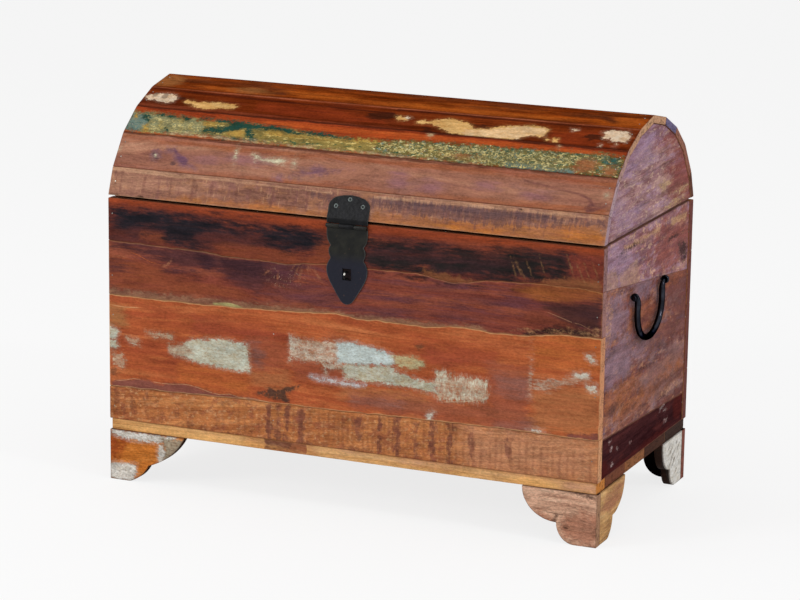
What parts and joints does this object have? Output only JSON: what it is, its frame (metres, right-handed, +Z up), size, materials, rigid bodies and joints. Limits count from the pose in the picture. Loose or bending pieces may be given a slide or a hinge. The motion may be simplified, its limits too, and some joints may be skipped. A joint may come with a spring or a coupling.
{
  "type": "wooden storage chest",
  "caption": "Arched-lid wooden storage chest of reclaimed boards on bracket feet, with a hinged lid, hasp latch and hanging bail handles.",
  "frame": {"origin": "on the floor, below the middle of the chest's outer box", "axes": "+X along the chest, the front with its hasp faces -Y, +Z up"},
  "size_m": [0.8238, 0.4192, 0.6058],
  "materials": {
    "front_boards": "waxed reclaimed boards, red-brown with remains of old paint",
    "back_boards": "waxed reclaimed boards, brown",
    "side_boards": "waxed reclaimed boards, mauve and red-brown",
    "bottom_boards": "sawn boards, light to dark brown",
    "feet": "sawn boards with worn paint",
    "lid_rails": "rough-sawn tan boards",
    "lid_slats": "waxed reclaimed slats with remains of old paint",
    "lid_ends": "mauve-brown board",
    "black_iron": "black lacquered iron, satin",
    "dark_steel": "darkened steel"
  },
  "bodies": {
    "carcass": {"front_board_1": "front_boards", "front_board_2": "front_boards", "front_board_3": "front_boards", "front_board_4": "front_boards", "back_board_1": "back_boards", "back_board_2": "back_boards", "back_board_3": "back_boards", "back_board_4": "back_boards", "left_side_board_1": "side_boards", "left_side_board_2": "side_boards", "left_side_board_3": "side_boards", "right_side_board_1": "side_boards", "right_side_board_2": "side_boards", "right_side_board_3": "side_boards", "bottom_board_1": "bottom_boards", "bottom_board_2": "bottom_boards", "bottom_board_3": "bottom_boards", "bottom_board_4": "bottom_boards", "bottom_board_5": "bottom_boards", "front_left_foot_long": "feet", "front_left_foot_side": "feet", "front_right_foot_long": "feet", "front_right_foot_side": "feet", "back_left_foot_long": "feet", "back_left_foot_side": "feet", "back_right_foot_long": "feet", "back_right_foot_side": "feet", "staple": "black_iron", "left_hinge_lower_leaf": "black_iron", "left_hinge_pin": "black_iron", "right_hinge_lower_leaf": "black_iron", "right_hinge_pin": "black_iron", "left_front_eye_bolt": "black_iron", "left_back_eye_bolt": "black_iron", "right_front_eye_bolt": "black_iron", "right_back_eye_bolt": "black_iron"},
    "lid": {"lid_front_rail": "lid_rails", "lid_back_rail": "lid_rails", "lid_slat_1": "lid_slats", "lid_slat_2": "lid_slats", "lid_slat_3": "lid_slats", "lid_slat_4": "lid_slats", "lid_slat_5": "lid_slats", "lid_slat_6": "lid_slats", "lid_slat_7": "lid_slats", "lid_slat_8": "lid_slats", "lid_left_end": "lid_ends", "lid_right_end": "lid_ends", "latch_plate": "black_iron", "latch_pin": "black_iron", "latch_screw_1": "dark_steel", "latch_screw_2": "dark_steel", "latch_screw_3": "dark_steel", "left_hinge_upper_leaf": "black_iron", "right_hinge_upper_leaf": "black_iron"},
    "hasp": {"hasp": "black_iron"},
    "left_handle": {"left_handle": "black_iron"},
    "right_handle": {"right_handle": "black_iron"}
  },
  "joints": [
    {"name": "lid_hinge", "type": "hinge", "parent": "carcass", "child": "lid", "pos_m": [0, 0.2064, 0.44625], "axis": [-1, 0, 0], "range_deg": [0, 100]},
    {"name": "hasp_hinge", "type": "hinge", "parent": "lid", "child": "hasp", "pos_m": [0, -0.20067, 0.4383], "axis": [-1, 0, 0], "range_deg": [0, 150]},
    {"name": "left_handle_swing", "type": "hinge", "parent": "carcass", "child": "left_handle", "pos_m": [-0.4057, -0.00664, 0.3485], "axis": [0, 1, 0], "range_deg": [0, 170]},
    {"name": "right_handle_swing", "type": "hinge", "parent": "carcass", "child": "right_handle", "pos_m": [0.4057, -0.00664, 0.3485], "axis": [0, -1, 0], "range_deg": [0, 170]}
  ]
}
